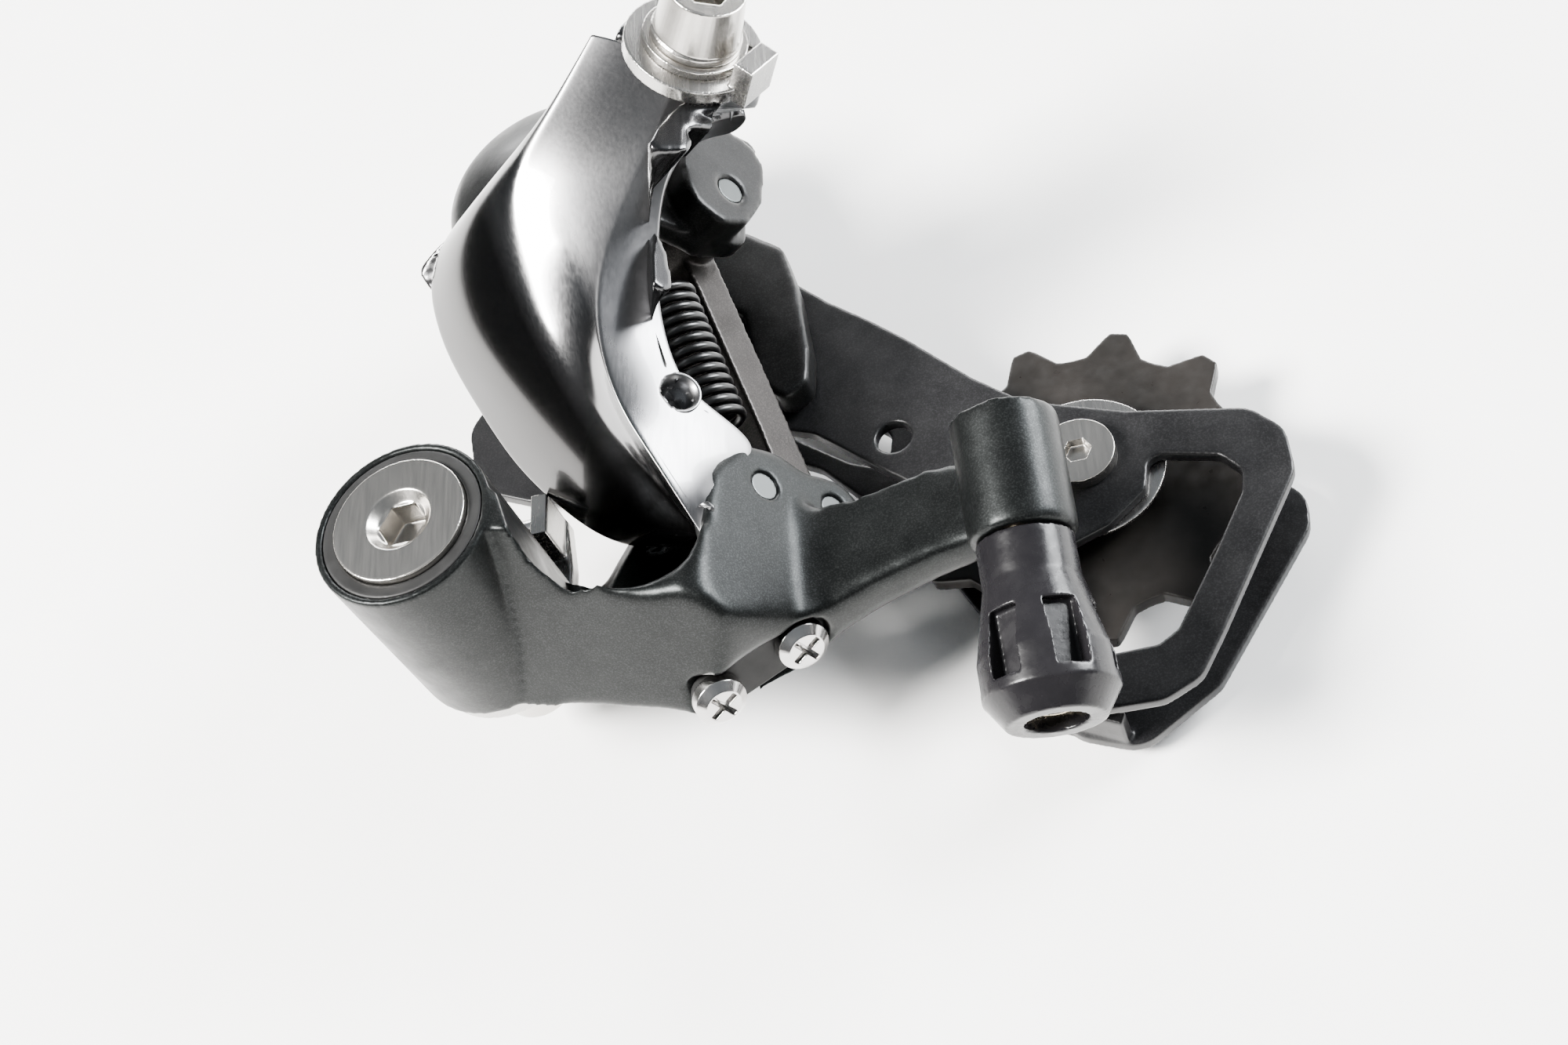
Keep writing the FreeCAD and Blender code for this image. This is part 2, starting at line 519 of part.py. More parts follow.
def make_inner_link():
    """Narrow inner link with two hubs."""
    angle = size("rest_angle")
    reach = size("link_length")
    place = linkage_place(PIN_IB[0], PIN_IB[1], size("hub_start"), angle)
    height = size("hub_b_end") - size("hub_start")
    hub_b = cylinder("il_hub_b", "Sheet.hub_inner_radius", height,
                     linkage_place(PIN_IB[0], PIN_IB[1], size("hub_start")))
    hub_p = cylinder("il_hub_p", "Sheet.hub_inner_radius", size("hub_p_end") - size("hub_start"),
                     linkage_place(PIN_IP[0], PIN_IP[1], size("hub_start")))
    bar = [(0.0, -3.2), (reach, -3.2), (reach, 2.5), (34.0, 1.9), (14.0, 1.9), (0.0, 2.5)]
    bar_block = outline("il_bar", bar, height, place, 0.8)
    step = [(12.0, -4.4), (30.0, -4.4), (32.0, -3.0), (32.0, 0.0), (10.0, 0.0), (10.0, -3.0)]
    step_block = outline("il_step", step, height - 1.2, place, 0.4)
    slot = outline("il_slot", [(8.0, -1.3), (reach - 7.5, -1.3), (reach - 7.5, 1.3), (8.0, 1.3)], 9,
                   place.multiply(at(0, 0, -1.0)), 1.2)
    holes = [slot]
    for index, (u, v) in enumerate((PIN_IB, PIN_IP)):
        gap = 0.18 if index == 1 else size("pin_clearance")
        holes.append(cylinder("il_hole%d" % index, size("pin_radius") + gap, 60,
                              linkage_place(u, v, 0)))
    body = fuse("il_body", [hub_b, hub_p, bar_block, step_block])
    finish("inner_link", cut("il_done", body, fuse("il_holes", holes)))


# ---------------------------------------------------------------- P-knuckle
def make_p_knuckle():
    """Spring housing with the two ears that take the far link pins."""
    centre = (size("p_axis_x"), size("p_axis_y"))
    low = size("housing_bottom")
    height = size("housing_top") - low
    drum = domed_drum("pk_drum", size("housing_radius"), 5.0, height, at(centre[0], centre[1], low))
    lobe = [(22.0, 57.0), (34.0, 56.5), (39.0, 52.0), (40.5, 45.0), (41.5, 34.0), (41.0, 28.5),
            (37.5, 26.5), (34.6, 30.0), (33.0, 42.0), (24.0, 48.0)]
    lobe_block = outline("pk_lobe", lobe, 4.6, at(0, 0, low + 0.3), 2.0)
    angle = math.radians(27.5)
    lug_x = centre[0] + 17.4 * math.cos(angle)
    lug_y = centre[1] + 17.4 * math.sin(angle)
    lug = cylinder("pk_stop_lug", 2.3, 6.0, at(lug_x, lug_y, low + 0.3))
    chin = block("pk_chin", (centre[0] - 30, centre[1] - 40, low - 20),
                 (centre[0] + 30, centre[1] + 20, low))
    ear_low = [(PIN_OP[0] - 5.6, 3.0), (PIN_OP[0] - 2.0, 10.6), (PIN_OP[0] + 3.5, 10.2),
               (PIN_OP[0] + 8.0, 7.4), (PIN_OP[0] + 14.0, 7.0), (PIN_OP[0] + 18.0, 0.0), (PIN_OP[0] + 18.0, -12.0),
               (PIN_IP[0] + 4.0, -10.3), (PIN_IP[0] - 3.5, -10.2), (PIN_IP[0] - 5.6, -5.0)]
    low_block = outline("pk_ear_low", ear_low, size("ear_low_end") - size("ear_low_start") + 6.0,
                        linkage_place(w=size("ear_low_start") - 6.0), 2.0)
    ear_mid = [(PIN_OP[0] - 5.6, 5.3), (PIN_OP[0] - 2.5, 10.6), (PIN_OP[0] + 2.5, 10.6),
               (PIN_OP[0] + 5.8, 5.3), (PIN_IP[0] + 13.0, -2.0), (PIN_IP[0] + 13.0, -9.0),
               (PIN_IP[0] + 3.5, -10.6), (PIN_IP[0] - 3.0, -10.4), (PIN_IP[0] - 5.8, -5.0)]
    mid_block = outline("pk_ear_mid", ear_mid, size("ear_p_mid") - size("ear_p_start"),
                        linkage_place(w=size("ear_p_start")), 2.6)
    ear_top = [(38.1, -3.4), (39.6, 0.2), (42.5, 2.0), (47.4, 2.2), (50.5, 0.8), (55.0, -4.0),
               (54.2, -8.7), (51.2, -10.4), (44.9, -9.8), (40.0, -7.3)]
    top_block = outline("pk_ear_top", ear_top, size("ear_p_end") - size("ear_p_start"),
                        linkage_place(w=size("ear_p_start")), 2.8)
    spine = [(PIN_IP[0] + 5.6, -3.0), (PIN_IP[0] + 16.0, 0.0), (PIN_IP[0] + 16.0, -13.0),
             (PIN_IP[0] + 5.6, -11.5)]
    spine_block = outline("pk_spine", spine, size("ear_p_mid") - size("ear_low_start"),
                          linkage_place(w=size("ear_low_start")), 1.5)
    body = fuse("pk_body", [drum, lobe_block, lug, low_block, mid_block, top_block,
                            spine_block])
    holes = [chin]
    holes.append(cylinder("pk_axle_hole", 4.05, 60, at(centre[0], centre[1], -46.6)))
    holes.append(cylinder("pk_spring_room", 11.5, 10.0, at(centre[0], centre[1], low - 0.5)))
    for index, (u, v) in enumerate((PIN_OP, PIN_IP)):
        holes.append(cylinder("pk_pin_hole%d" % index, size("pin_radius"), 60, linkage_place(u, v, 10)))
        holes.append(cylinder("pk_gap%d" % index, 5.5, size("ear_p_start") - size("ear_low_end"),
                              linkage_place(u, v, size("ear_low_end"))))
    bored = cut("pk_bored", body, fuse("pk_bores", holes))
    sweep = [math.radians(3.0 + step * 15.0) for step in range(13)]
    far_arc = [(PIN_OP[0] + 16.0 * math.cos(a), PIN_OP[1] + 16.0 * math.sin(a)) for a in sweep]
    near_arc = [(PIN_OP[0] + 6.9 * math.cos(a), PIN_OP[1] + 6.9 * math.sin(a)) for a in reversed(sweep)]
    scoop = outline("pk_scoop", far_arc + near_arc, 24.0, linkage_place(w=-3.2))
    finish("p_knuckle", cut("pk_done", bored, scoop))


def make_p_axle():
    """Cage axle that turns inside the P-knuckle."""
    x, y = size("p_axis_x"), size("p_axis_y")
    rod = cylinder("pa_rod", 4.0, 16.3, at(x, y, -3.1))
    flange = cylinder("pa_flange", 5.0, 1.6, at(x, y, size("outer_plate_bottom") - 1.62))
    stub = cylinder("pa_stub", 4.0, 4.0, at(x, y, size("outer_plate_bottom") - 1.0))
    socket = hexagon("pa_socket", 4.0, 4.0, at(x, y, size("outer_plate_bottom") - 2.0))
    finish("p_axle", cut("pa_done", fuse("pa_body", [rod, flange, stub]), socket))


# ---------------------------------------------------------------- cage
def make_outer_plate():
    """Outer cage plate with its triangular loop around the tension pulley."""
    x, y = size("p_axis_x"), size("p_axis_y")
    low = size("outer_plate_bottom")
    thick = size("plate_thick")
    arm = [(x - 8, y + 8), (x + 8, y + 13), (25, 77.5), (28.5, 74), (30, 64), (37, 52), (43.5, 45),
           (49, 40), (53, 36), (61, 27), (67, 21.5), (79, 16.5), (93, 13), (96.5, 9), (96.5, 3),
           (85, -15.7), (81.5, -21), (77, -23), (64, -22.5), (60.5, -16), (61.5, 0), (57.5, 8),
           (49, 15.5), (40, 24), (24, 31), (10, 36), (0, 42), (-3, 52)]
    sheet_block = outline("op_sheet", arm, thick, at(0, 0, low), 4.0)
    drum = cylinder("op_drum", 15.0, thick, at(x, y, low))
    hole = [(80.5, 9.6), (88.5, 7.2), (90.6, 4.5), (90.0, 1.5), (85.5, -6), (80, -14.5), (77.5, -16),
            (69.5, -16), (67.5, -13.5), (68.5, -1.0), (74.5, 1.0), (79.5, 5.0)]
    opening = outline("op_opening", hole, 10, at(0, 0, low - 5), 1.6)
    holes = [opening, cylinder("op_peep", 2.3, 10, at(50.2, 20.6, low - 5))]
    holes.append(cylinder("op_bolt", size("pulley_bolt_radius") + 0.02, 10,
                          at(size("tension_x"), size("tension_y"), low - 5)))
    holes.append(cylinder("op_guide", size("pulley_bolt_radius") + 0.02, 10,
                          at(size("guide_x"), size("guide_y"), low - 5)))
    holes.append(cylinder("op_axle", 4.0, 10, at(x, y, low - 5)))
    finish("cage_outer_plate", cut("op_done", fuse("op_body", [sheet_block, drum]),
                                   fuse("op_holes", holes)))


def make_inner_plate():
    """Inner cage plate with a guard lobe beside the guide pulley."""
    low = size("inner_plate_bottom")
    thick = size("plate_thick")
    arm = [(-13.5, 47), (-12, 36), (-3, 31.5), (10, 32), (22, 36), (38, 26), (50, 12), (58, -4),
           (60.5, -13), (66, -20), (73, -23), (83, -17), (97, 1.5), (97.5, 6), (94, 9.5), (82, 16),
           (76, 22), (66, 23), (54, 31), (40, 42), (28, 54), (20, 60.5), (8, 62), (-6, 57)]
    plate = outline("ip_plate", arm, thick, at(0, 0, low), 4.5)
    hole = [(80, 5.5), (88.5, 3.5), (91, 1.5), (82, -11.5), (74.5, -16.5), (68, -14), (65.5, -9),
            (70, -2.5), (76, -1.0)]
    opening = outline("ip_opening", hole, 10, at(0, 0, low - 5), 1.6)
    slot = outline("ip_slot", [(30, 42), (36, 41), (48, 29), (47, 23.5), (42, 26), (31, 35)], 10,
                   at(0, 0, low - 5), 2.2)
    holes = [opening, slot]
    for node in ("tension", "guide"):
        holes.append(cylinder("ip_bolt_" + node, size("pulley_bolt_radius"), 10,
                              at(size(node + "_x"), size(node + "_y"), low - 5)))
    lip = block("ip_lip", (64.0, -21.5, low), (73.5, -19.0, low + 7.0))
    lip.Placement = FreeCAD.Placement(Vector(63.5, -18.2, low),
                                      FreeCAD.Rotation(Vector(0, 0, 1), -27))
    lip.Length = 9.0
    lip.Width = 1.6
    body = cut("ip_body", plate, fuse("ip_holes", holes))
    finish("cage_inner_plate", fuse("ip_done", [body, lip]))


def make_cage_stop():
    """Stop pin that rests against the P-knuckle when the chain is slack."""
    angle = math.radians(40.2)
    x = size("p_axis_x") + 17.7 * math.cos(angle)
    y = size("p_axis_y") + 17.7 * math.sin(angle)
    base = size("outer_plate_bottom") + size("plate_thick")
    finish("cage_stop_pin", cylinder("cs_pin", 1.5, 5.0, at(x, y, base)))


def pulley_profile(teeth):
    """Closed outline of a chain pulley, teeth rounded at tip and root."""
    pitch_radius = size("tooth_pitch") / 2.0 / math.sin(math.pi / teeth)
    root = pitch_radius - 3.9
    tip = pitch_radius - 0.1
    points = []
    for tooth in range(teeth):
        centre = 2.0 * math.pi * tooth / teeth
        step = 2.0 * math.pi / teeth
        for share, radius in ((-0.5, root), (-0.33, root + 0.25), (-0.235, root + 1.5),
                              (-0.14, tip - 0.8), (-0.085, tip), (0.085, tip), (0.14, tip - 0.8),
                              (0.235, root + 1.5), (0.33, root + 0.25)):
            angle = centre + share * step
            points.append((radius * math.cos(angle), radius * math.sin(angle)))
    return points


def make_pulley_group(where):
    """One pulley with bush, dust caps and bolt."""
    x, y = size(where + "_x"), size(where + "_y")
    middle = size("pulley_middle")
    teeth = int(size("tooth_count"))
    thick = size("tooth_thick")
    place = at(x, y, middle - thick / 2.0)
    turn = 6.0 if where == "tension" else 15.0
    place.Rotation = FreeCAD.Rotation(Vector(0, 0, 1), turn)
    disc = outline(where + "_disc", pulley_profile(teeth), thick, place)
    hub_thick = size("pulley_hub_thick")
    hub = cylinder(where + "_hub", "Sheet.pulley_hub_radius", "Sheet.pulley_hub_thick",
                   at(x, y, middle - hub_thick / 2.0))
    body = fuse(where + "_body", [disc, hub])
    bore = cylinder(where + "_bore", "Sheet.pulley_bore", 20, at(x, y, middle - 10))
    finish(where + "_pulley", cut(where + "_pulley_done", body, bore))
    bush_height = size("outer_plate_bottom") - size("inner_plate_bottom") - size("plate_thick")
    bush = cylinder(where + "_bush_tube", "Sheet.bush_pulley_radius", bush_height,
                    at(x, y, size("inner_plate_bottom") + size("plate_thick")))
    bush_bore = cylinder(where + "_bush_bore", size("pulley_bolt_radius") + 0.03, 30, at(x, y, -30))
    finish(where + "_bush", cut(where + "_bush_done", bush, bush_bore))
    caps = []
    for name, base in (("low", size("inner_plate_bottom") + size("plate_thick") + 0.02),
                       ("high", size("outer_plate_bottom") - size("cap_thick") - 0.02)):
        disc_cap = cylinder(where + "_cap_" + name, "Sheet.cap_radius", "Sheet.cap_thick", at(x, y, base))
        caps.append(disc_cap)
    cap_bore = cylinder(where + "_cap_bore", size("bush_pulley_radius") + 0.05, 30, at(x, y, -30))
    finish(where + "_caps", cut(where + "_caps_done", fuse(where + "_cap_pair", caps), cap_bore))
    plate_top = size("outer_plate_bottom") + size("plate_thick")
    length = plate_top - size("inner_plate_bottom")
    if where == "tension":
        head_base, shank_base = plate_top + 0.01, size("inner_plate_bottom")
        socket_base = plate_top + 0.5
    else:
        head_base = size("inner_plate_bottom") - size("pulley_head_height") - 0.01
        shank_base = size("inner_plate_bottom") - 0.1
        socket_base = head_base - 0.4
        length = length - 1.9
    head = cylinder(where + "_bolt_head", "Sheet.pulley_head_radius", "Sheet.pulley_head_height",
                    at(x, y, head_base))
    shank = cylinder(where + "_bolt_shank", "Sheet.pulley_bolt_radius", length + 0.1, at(x, y, shank_base))
    socket = hexagon(where + "_bolt_socket", 3.0, size("pulley_head_height"), at(x, y, socket_base))
    finish(where + "_bolt", cut(where + "_bolt_done", fuse(where + "_bolt_body", [head, shank]), socket))


# ---------------------------------------------------------------- barrel adjuster
def make_barrel():
    """Cable barrel adjuster: knob, threaded liner and detent spring."""
    tilt = math.radians(size("barrel_tilt"))
    down = Vector(0, -math.cos(tilt), -math.sin(tilt))
    middle = Vector(size("barrel_x"), size("barrel_y"), size("barrel_z"))
    place = aimed_place(middle + down * 1.8, down)
    neck = cylinder("bb_neck", 5.4, 5.0, place)
    flare = cone("bb_flare", 5.4, size("knob_radius"), 8.5, place.multiply(at(0, 0, 4.9)))
    skirt = cylinder("bb_skirt", "Sheet.knob_radius", 4.2, place.multiply(at(0, 0, 13.3)))
    mouth = cone("bb_mouth", size("knob_radius"), 5.4, 3.0, place.multiply(at(0, 0, 17.4)))
    bore = cylinder("bb_bore", size("liner_flange_radius") + 0.04, 30, place.multiply(at(0, 0, -2)))
    slots = []
    for step in range(6):
        spin = FreeCAD.Placement(Vector(0, 0, 0), FreeCAD.Rotation(Vector(0, 0, 1), 60.0 * step))
        slot = doc.addObject("Part::Box", "bb_slot%d" % step)
        slot.Length = 4.0
        slot.Width = 3.6
        slot.Height = 7.6
        slot.Placement = place.multiply(spin).multiply(at(5.0, -1.8, 8.6))
        slots.append(slot)
    finish("barrel_knob", cut("bb_done", fuse("bb_body", [neck, flare, skirt, mouth]),
                              fuse("bb_cuts", [bore] + slots)))
    liner = cylinder("bl_tube", "Sheet.liner_flange_radius", 18.6, place.multiply(at(0, 0, 0.3)))
    stem = cylinder("bl_stem", size("liner_radius") - 0.03, 11.0, place.multiply(at(0, 0, -10.4)))
    pocket = cylinder("bl_pocket", "Sheet.housing_bore", 12.0, place.multiply(at(0, 0, 8.0)))
    wire = cylinder("bl_wire", "Sheet.cable_bore", 40.0, place.multiply(at(0, 0, -15)))
    finish("barrel_liner", cut("bl_done", fuse("bl_body", [liner, stem]),
                               fuse("bl_cuts", [pocket, wire])))


make_b_axle()
make_stop_plate()
make_b_inner_pieces()
coil("b_spring", 7.8, 0.75, 2.1, 8.4, at(0, 0, 3.8))
make_b_knuckle()
make_limit_pieces()
make_b_tension_screw()
make_pins()
make_outer_link()
make_cable_clamp()
make_inner_link()
coil("return_spring", 3.7, 0.6, 1.5, 19.5, return_spring_place())
make_p_knuckle()
make_p_axle()
coil("p_spring", 8.6, 0.9, 2.3, 6.9, at(size("p_axis_x"), size("p_axis_y"), -1.6))
make_outer_plate()
make_inner_plate()
make_cage_stop()
make_pulley_group("guide")
make_pulley_group("tension")
make_barrel()

doc.recompute()

os.makedirs("parts", exist_ok=True)
for item in doc.Objects:
    if "Invalid" in item.State or "Error" in item.State:
        raise RuntimeError("%s did not build" % item.Name)
for node, item in finished:
    shape = item.Shape
    if shape.isNull() or not shape.isValid() or shape.Volume < 0.5:
        raise RuntimeError("%s has no sound shape" % node)
    print(node, "solids", len(shape.Solids), "volume %.1f" % shape.Volume)
    shape.exportStep("parts/%s.step" % node)
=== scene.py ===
import math

import bmesh
import bpy
import numpy as np
from mathutils import Matrix, Vector
from mathutils.bvhtree import BVHTree


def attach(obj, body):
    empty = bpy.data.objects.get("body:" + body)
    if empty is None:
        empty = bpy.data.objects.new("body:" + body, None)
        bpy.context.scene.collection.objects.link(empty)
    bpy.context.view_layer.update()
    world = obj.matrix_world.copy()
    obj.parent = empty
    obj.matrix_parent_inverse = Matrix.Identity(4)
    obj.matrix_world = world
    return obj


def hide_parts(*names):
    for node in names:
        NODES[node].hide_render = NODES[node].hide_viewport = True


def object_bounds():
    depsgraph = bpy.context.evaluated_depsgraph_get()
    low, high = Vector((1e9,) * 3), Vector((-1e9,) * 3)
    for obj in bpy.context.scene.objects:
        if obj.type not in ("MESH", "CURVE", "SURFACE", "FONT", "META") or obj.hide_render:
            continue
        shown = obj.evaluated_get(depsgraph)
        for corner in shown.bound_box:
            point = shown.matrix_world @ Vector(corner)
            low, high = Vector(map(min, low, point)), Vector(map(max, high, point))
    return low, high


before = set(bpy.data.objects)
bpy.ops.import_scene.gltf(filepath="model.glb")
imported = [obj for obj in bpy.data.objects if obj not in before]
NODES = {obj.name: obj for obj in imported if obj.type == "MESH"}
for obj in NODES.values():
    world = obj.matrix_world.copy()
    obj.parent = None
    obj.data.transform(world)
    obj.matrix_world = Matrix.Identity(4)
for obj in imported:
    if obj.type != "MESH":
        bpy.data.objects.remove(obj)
CAD_LOW, CAD_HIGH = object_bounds()
MM = 0.001
scene = bpy.context.scene
PIN_AXIS = (0.809, 0.0, 0.588)
LINK_TURN = math.radians(24.5)
LINK_ROOT = (6.0, -12.0)


# ---------------------------------------------------------------- materials
def shader(name):
    """New material with an empty tree holding a Principled shader and the object coordinates."""
    made = bpy.data.materials.new(name)
    made.use_nodes = True
    tree = made.node_tree
    for item in list(tree.nodes):
        tree.nodes.remove(item)
    out = tree.nodes.new("ShaderNodeOutputMaterial")
    main = tree.nodes.new("ShaderNodeBsdfPrincipled")
    coords = tree.nodes.new("ShaderNodeTexCoord")
    tree.links.new(main.outputs["BSDF"], out.inputs["Surface"])
    return made, tree, main, coords


def noise(tree, coords, scale, detail=3.0, stretch=None, rough=0.55):
    """Noise texture in object space, features about one over scale metres."""
    item = tree.nodes.new("ShaderNodeTexNoise")
    item.inputs["Scale"].default_value = scale
    item.inputs["Detail"].default_value = detail
    item.inputs["Roughness"].default_value = rough
    if stretch is None:
        tree.links.new(coords.outputs["Object"], item.inputs["Vector"])
    else:
        mapping = tree.nodes.new("ShaderNodeMapping")
        mapping.inputs["Rotation"].default_value = stretch[0]
        mapping.inputs["Scale"].default_value = stretch[1]
        tree.links.new(coords.outputs["Object"], mapping.inputs["Vector"])
        tree.links.new(mapping.outputs["Vector"], item.inputs["Vector"])
    return item.outputs["Fac"]


def spread(tree, source, low, high, start=0.3, end=0.7):
    """Map a noise value onto a range."""
    item = tree.nodes.new("ShaderNodeMapRange")
    item.inputs["From Min"].default_value = start
    item.inputs["From Max"].default_value = end
    item.inputs["To Min"].default_value = low
    item.inputs["To Max"].default_value = high
    tree.links.new(source, item.inputs["Value"])
    return item.outputs["Result"]


def tint(tree, source, dark, light):
    """Blend two colours by a value."""
    item = tree.nodes.new("ShaderNodeMix")
    item.data_type = "RGBA"
    item.inputs["A"].default_value = (*dark, 1)
    item.inputs["B"].default_value = (*light, 1)
    tree.links.new(source, item.inputs["Factor"])
    return item.outputs["Result"]


def over(tree, source, below, light):
    """Lay a colour over another by a value."""
    item = tree.nodes.new("ShaderNodeMix")
    item.data_type = "RGBA"
    item.inputs["B"].default_value = (*light, 1)
    tree.links.new(source, item.inputs["Factor"])
    tree.links.new(below, item.inputs["A"])
    return item.outputs["Result"]


def bump(tree, main, heights):
    """Chain of bump nodes, each given as height source, strength and depth in metres."""
    last = None
    for height, strength, depth in heights:
        item = tree.nodes.new("ShaderNodeBump")
        item.inputs["Strength"].default_value = strength
        item.inputs["Distance"].default_value = depth
        tree.links.new(height, item.inputs["Height"])
        if last is not None:
            tree.links.new(last, item.inputs["Normal"])
        last = item.outputs["Normal"]
    tree.links.new(last, main.inputs["Normal"])


def edges(tree, low, high):
    """Value that is high on outward edges."""
    item = tree.nodes.new("ShaderNodeNewGeometry")
    return spread(tree, item.outputs["Pointiness"], 0.0, 1.0, low, high)


def paint(name, dark, light, rough, metallic, coat, grain=1400.0):
    """Satin metallic paint over a cast surface, with soft orange peel."""
    made, tree, main, coords = shader(name)
    cloud = spread(tree, noise(tree, coords, 90.0, 4.0), 0.0, 1.0, 0.25, 0.75)
    fleck = spread(tree, noise(tree, coords, 5200.0, 1.0), 0.0, 1.0, 0.45, 0.8)
    colour = tint(tree, cloud, dark, light)
    colour = over(tree, fleck, colour, [min(1.0, c * 1.8 + 0.004) for c in light])
    tree.links.new(colour, main.inputs["Base Color"])
    patches = spread(tree, noise(tree, coords, 260.0, 3.0), rough - 0.05, rough + 0.08)
    tree.links.new(patches, main.inputs["Roughness"])
    main.inputs["Metallic"].default_value = metallic
    main.inputs["Coat Weight"].default_value = coat
    main.inputs["Coat Roughness"].default_value = 0.22
    main.inputs["Specular IOR Level"].default_value = 0.2
    bump(tree, main, [(noise(tree, coords, grain, 3.0), 0.35, 0.00003),
                      (noise(tree, coords, 420.0, 2.0), 0.25, 0.00008)])
    return made


def polished(name, dark, light, rough, coat=0.0, brush=None, brush_strength=0.15):
    """Bare or clear-coated metal with fine scratches along one direction."""
    made, tree, main, coords = shader(name)
    cloud = spread(tree, noise(tree, coords, 60.0, 4.0), 0.0, 1.0, 0.25, 0.75)
    tree.links.new(tint(tree, cloud, dark, light), main.inputs["Base Color"])
    lines = noise(tree, coords, 2800.0, 4.0, brush or ((0, 0, 0), (1.0, 0.06, 1.0)))
    tree.links.new(spread(tree, lines, rough - 0.02, rough + 0.03), main.inputs["Roughness"])
    main.inputs["Metallic"].default_value = 1.0
    main.inputs["Coat Weight"].default_value = coat
    main.inputs["Coat Roughness"].default_value = 0.05
    bump(tree, main, [(lines, brush_strength, 0.000004),
                      (noise(tree, coords, 150.0, 1.0), 0.05, 0.00003)])
    return made


def plastic(name, dark, light, rough, grain=2600.0, depth=0.00003):
    """Moulded plastic with a fine skin and cloudy shade changes."""
    made, tree, main, coords = shader(name)
    cloud = spread(tree, noise(tree, coords, 110.0, 5.0), 0.0, 1.0, 0.3, 0.7)
    rubbed = [c * 1.8 + 0.004 for c in light]
    colour = over(tree, edges(tree, 0.53, 0.7), tint(tree, cloud, dark, light), rubbed)
    tree.links.new(colour, main.inputs["Base Color"])
    patches = spread(tree, noise(tree, coords, 500.0, 3.0), rough - 0.07, rough + 0.08)
    tree.links.new(patches, main.inputs["Roughness"])
    main.inputs["Specular IOR Level"].default_value = 0.22
    bump(tree, main, [(noise(tree, coords, grain, 2.0), 0.3, depth)])
    return made


def two_tone(made, dark):
    """Darken the link's back panel and roughen its flat face, by the distance out along the pins."""
    tree = made.node_tree
    main = next(item for item in tree.nodes if item.type == "BSDF_PRINCIPLED")
    coords = next(item for item in tree.nodes if item.type == "TEX_COORD")
    reach = tree.nodes.new("ShaderNodeVectorMath")
    reach.operation = "DOT_PRODUCT"
    reach.inputs[1].default_value = PIN_AXIS
    tree.links.new(coords.outputs["Object"], reach.inputs[0])
    base = main.inputs["Base Color"].links[0].from_socket
    item = tree.nodes.new("ShaderNodeMix")
    item.data_type = "RGBA"
    item.inputs["A"].default_value = (*dark, 1)
    tree.links.new(spread(tree, reach.outputs["Value"], 0.0, 1.0, 0.0255, 0.0285), item.inputs["Factor"])
    tree.links.new(base, item.inputs["B"])
    tree.links.new(item.outputs["Result"], main.inputs["Base Color"])
    rough = main.inputs["Roughness"].links[0].from_socket
    total = tree.nodes.new("ShaderNodeMath")
    total.operation = "ADD"
    tree.links.new(rough, total.inputs[0])
    tree.links.new(spread(tree, reach.outputs["Value"], 0.0, 0.17, 0.0345, 0.0368), total.inputs[1])
    tree.links.new(total.outputs["Value"], main.inputs["Roughness"])


KNUCKLE = paint("knuckle_paint", (0.0055, 0.0063, 0.0063), (0.0092, 0.0102, 0.0102), 0.37, 0.75, 0.04)
P_PAINT = paint("cage_knuckle_paint", (0.0045, 0.0046, 0.0047), (0.008, 0.0082, 0.0083), 0.36, 0.6, 0.08)
INNER = paint("inner_link_paint", (0.009, 0.0078, 0.0072), (0.016, 0.014, 0.013), 0.34, 0.6, 0.08)
CAGE = paint("cage_black", (0.003, 0.003, 0.0032), (0.006, 0.006, 0.0065), 0.36, 0.1, 0.1, 1900.0)
LINK = polished("link_polish", (0.15, 0.15, 0.155), (0.21, 0.208, 0.208), 0.15, 0.35,
                ((0, 0, 0.5), (1.0, 0.05, 1.0)), 0.2)
two_tone(LINK, (0.028, 0.027, 0.027))
LINK_CORE = polished("link_core", (0.05, 0.05, 0.052), (0.08, 0.08, 0.08), 0.24, 0.3)
STEEL = polished("steel_bright", (0.46, 0.44, 0.41), (0.58, 0.56, 0.53), 0.24)
SCREW = polished("steel_screw", (0.42, 0.41, 0.40), (0.56, 0.55, 0.54), 0.2)
PIN = polished("steel_pin", (0.05, 0.055, 0.055), (0.08, 0.085, 0.085), 0.4)
PRESSED = polished("steel_pressed", (0.38, 0.37, 0.36), (0.50, 0.49, 0.47), 0.26)
BRONZE = polished("bush_bronze", (0.42, 0.31, 0.18), (0.5, 0.38, 0.22), 0.4)
SPRING = polished("spring_dark", (0.03, 0.03, 0.03), (0.06, 0.06, 0.06), 0.3)
LINER = polished("liner_metal", (0.60, 0.50, 0.36), (0.72, 0.64, 0.50), 0.25)
PULLEY = plastic("pulley_plastic", (0.006, 0.0055, 0.005), (0.013, 0.0115, 0.0105), 0.34, 1500.0)
TRIM = plastic("trim_plastic", (0.005, 0.005, 0.005), (0.009, 0.009, 0.009), 0.5)
KNOB = plastic("knob_plastic", (0.0045, 0.0042, 0.005), (0.009, 0.0085, 0.0095), 0.26, 1200.0, 0.00005)
SEAL = plastic("seal_black", (0.006, 0.006, 0.006), (0.01, 0.01, 0.01), 0.5)


